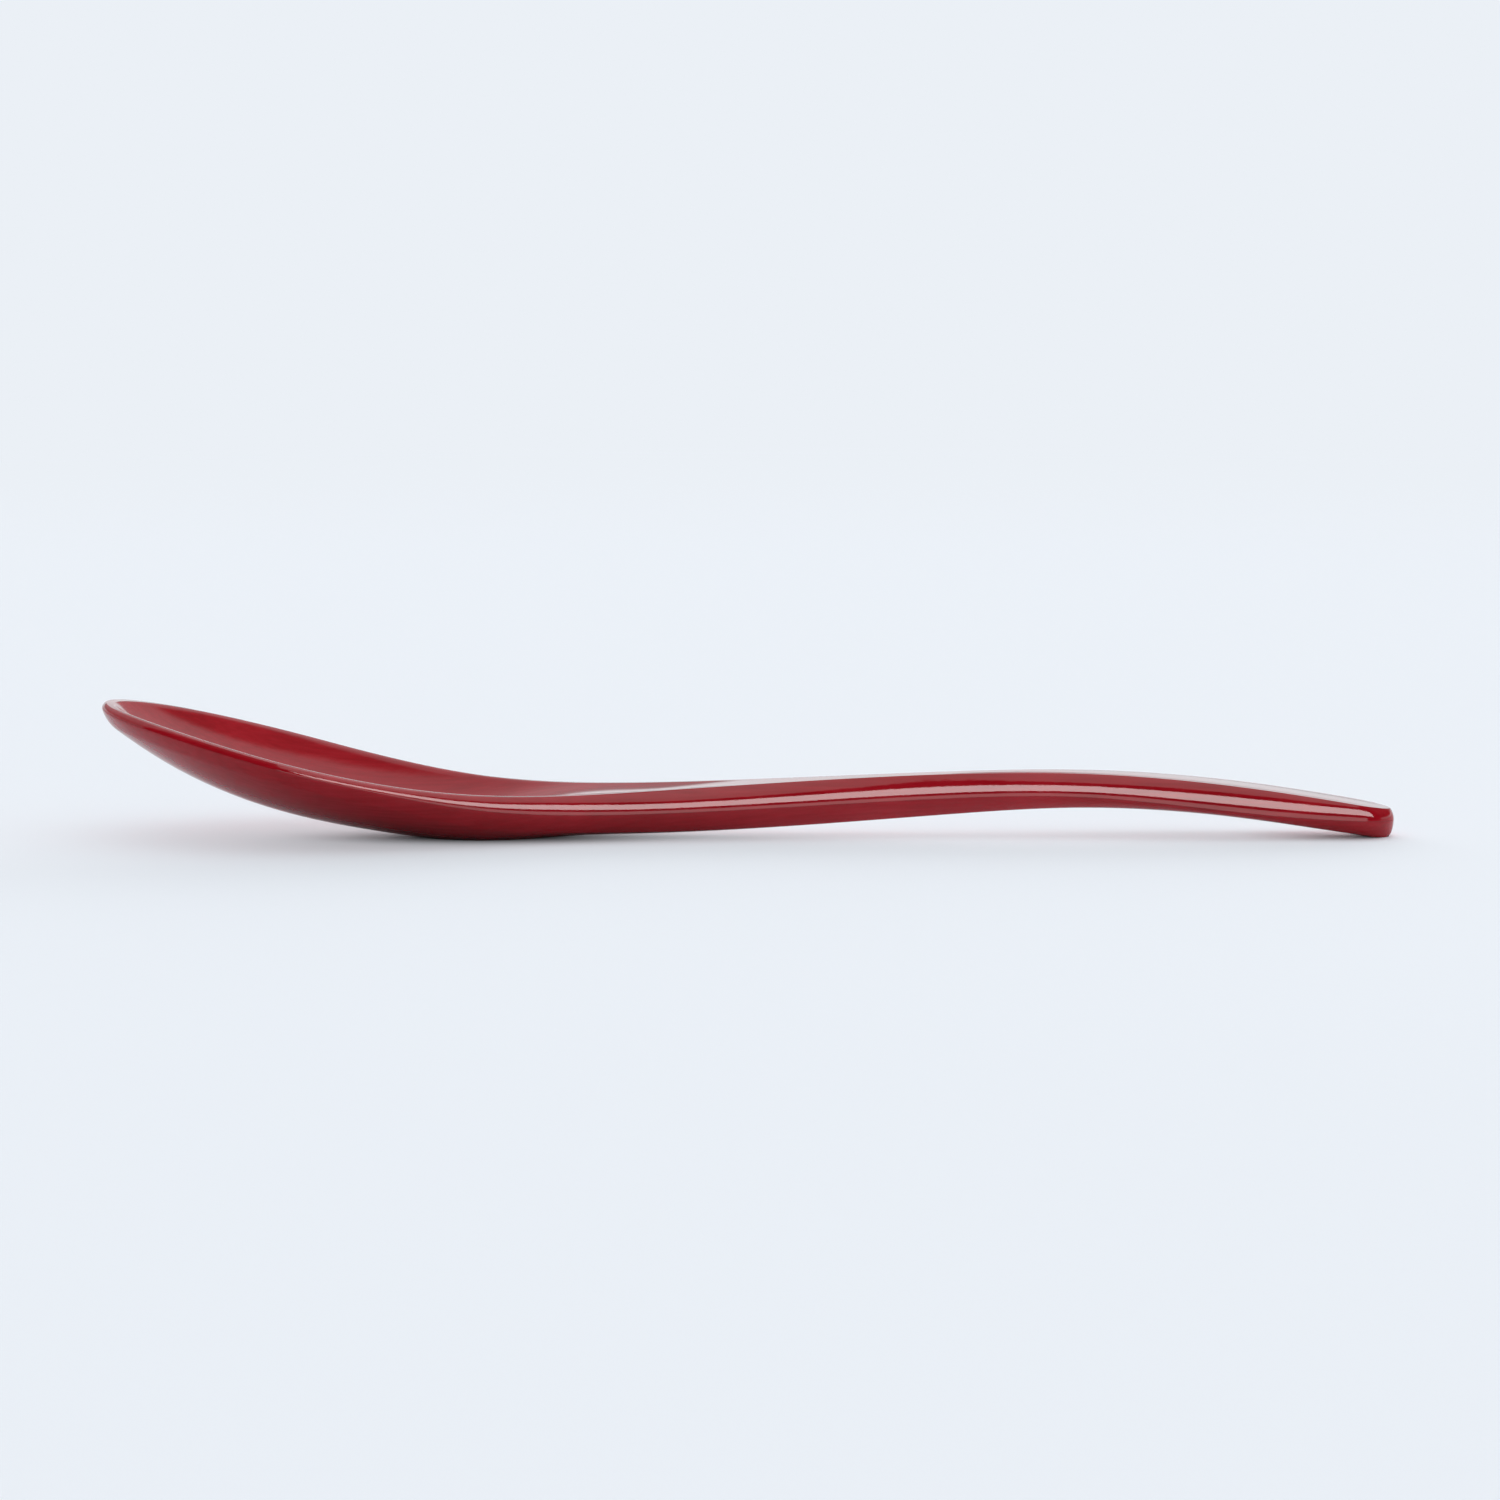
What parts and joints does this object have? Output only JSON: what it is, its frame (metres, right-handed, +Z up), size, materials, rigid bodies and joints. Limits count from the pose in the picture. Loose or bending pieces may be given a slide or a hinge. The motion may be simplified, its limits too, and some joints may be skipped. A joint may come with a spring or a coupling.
{
  "type": "spoon",
  "caption": "Red lacquered wooden spoon: egg-shaped bowl tipped up at the front, thick rounded neck and a slim arched handle with a rounded end.",
  "frame": {"origin": "on the table, under the middle of the spoon's length and width", "axes": "+X from the bowl tip to the handle end, +Z up from the table"},
  "size_m": [0.18, 0.0372, 0.0189],
  "materials": {
    "wood": "carved and sanded, hidden under the coats",
    "ground": "sanded filler ground, hidden under the lacquer",
    "lacquer": "glossy brushed red lacquer"
  },
  "bodies": {
    "root": {"wood_core": "wood", "ground_coat_face": "ground", "ground_coat_back": "ground", "lacquer_face": "lacquer", "lacquer_back": "lacquer"}
  },
  "joints": []
}
